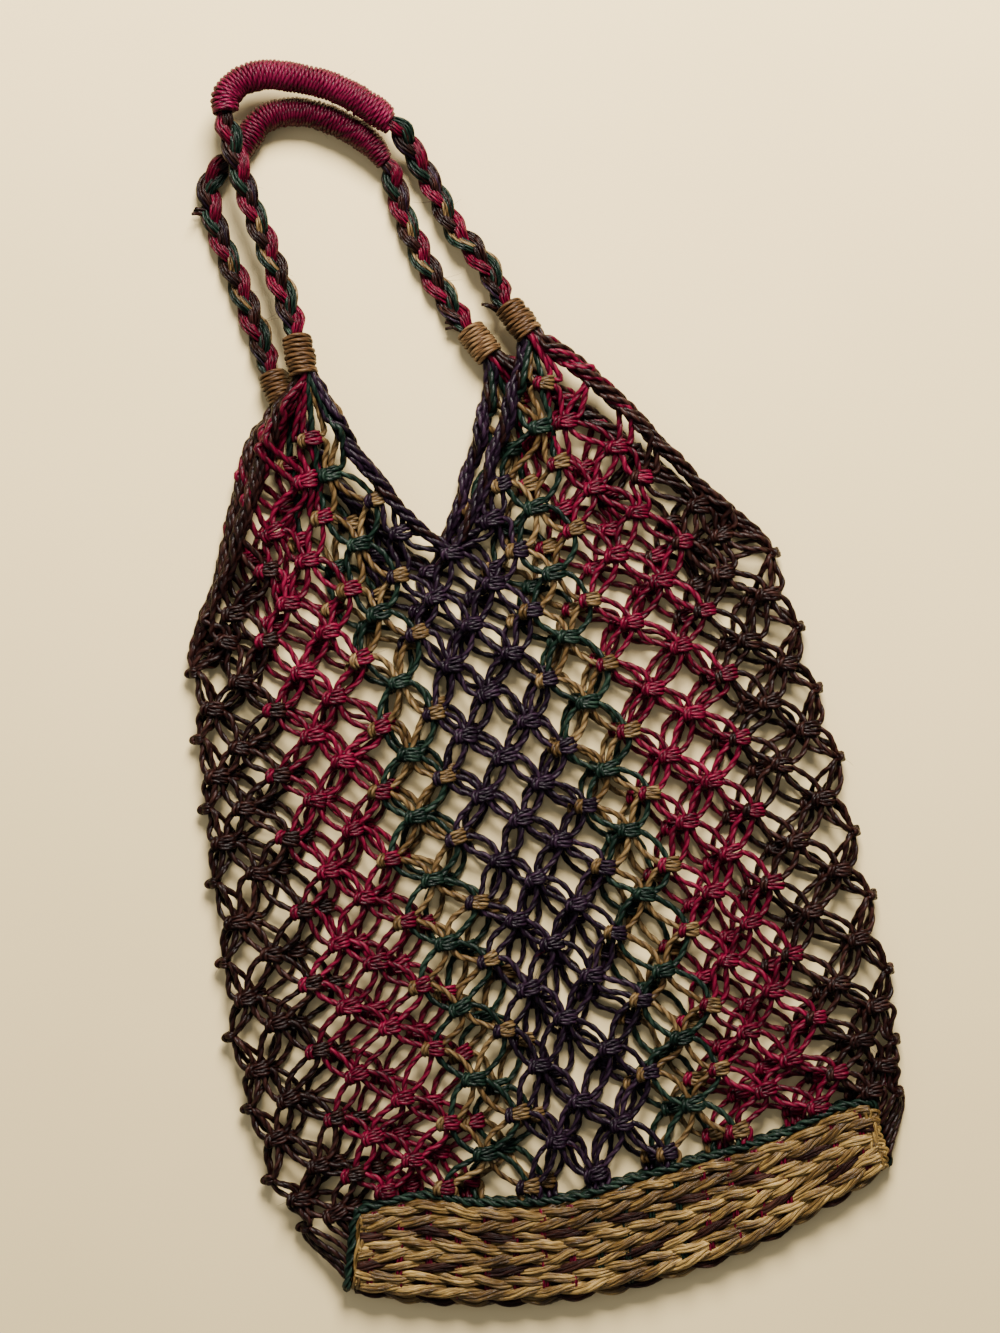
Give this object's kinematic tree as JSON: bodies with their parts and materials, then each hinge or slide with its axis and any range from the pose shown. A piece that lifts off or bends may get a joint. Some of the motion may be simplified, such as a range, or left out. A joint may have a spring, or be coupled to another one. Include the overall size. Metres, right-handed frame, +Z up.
{
  "type": "net tote bag",
  "caption": "Macrame net tote bag of coloured plant-fibre yarn with braided handles, wrapped grips and a folded twined straw base, empty and lying flat on its back",
  "frame": {"origin": "middle of the bag's footprint, on the surface it lies on", "axes": "+Y from the base to the handles, +X across the bag, +Z up from the surface to the front net"},
  "size_m": [0.3315, 0.6363, 0.0256],
  "materials": {
    "net_yarn": "two-ply plant-fibre yarn in dark brown, crimson, green, tan and purple columns",
    "base_straw": "twined straw with dark brown rows",
    "edging_yarn": "green two-ply yarn, twisted",
    "braid_yarn": "braided bundles of crimson, dark brown, green and tan yarn",
    "grip_yarn": "tightly wrapped crimson yarn",
    "binding_cord": "wound tan cord"
  },
  "bodies": {
    "root": {"net_body": "net_yarn", "base_panel": "base_straw", "base_edging": "edging_yarn", "front_grip": "grip_yarn", "back_grip": "grip_yarn", "front_braid_left": "braid_yarn", "front_braid_right": "braid_yarn", "back_braid_left": "braid_yarn", "back_braid_right": "braid_yarn", "front_binding_left": "binding_cord", "front_binding_right": "binding_cord", "back_binding_left": "binding_cord", "back_binding_right": "binding_cord"}
  },
  "joints": []
}
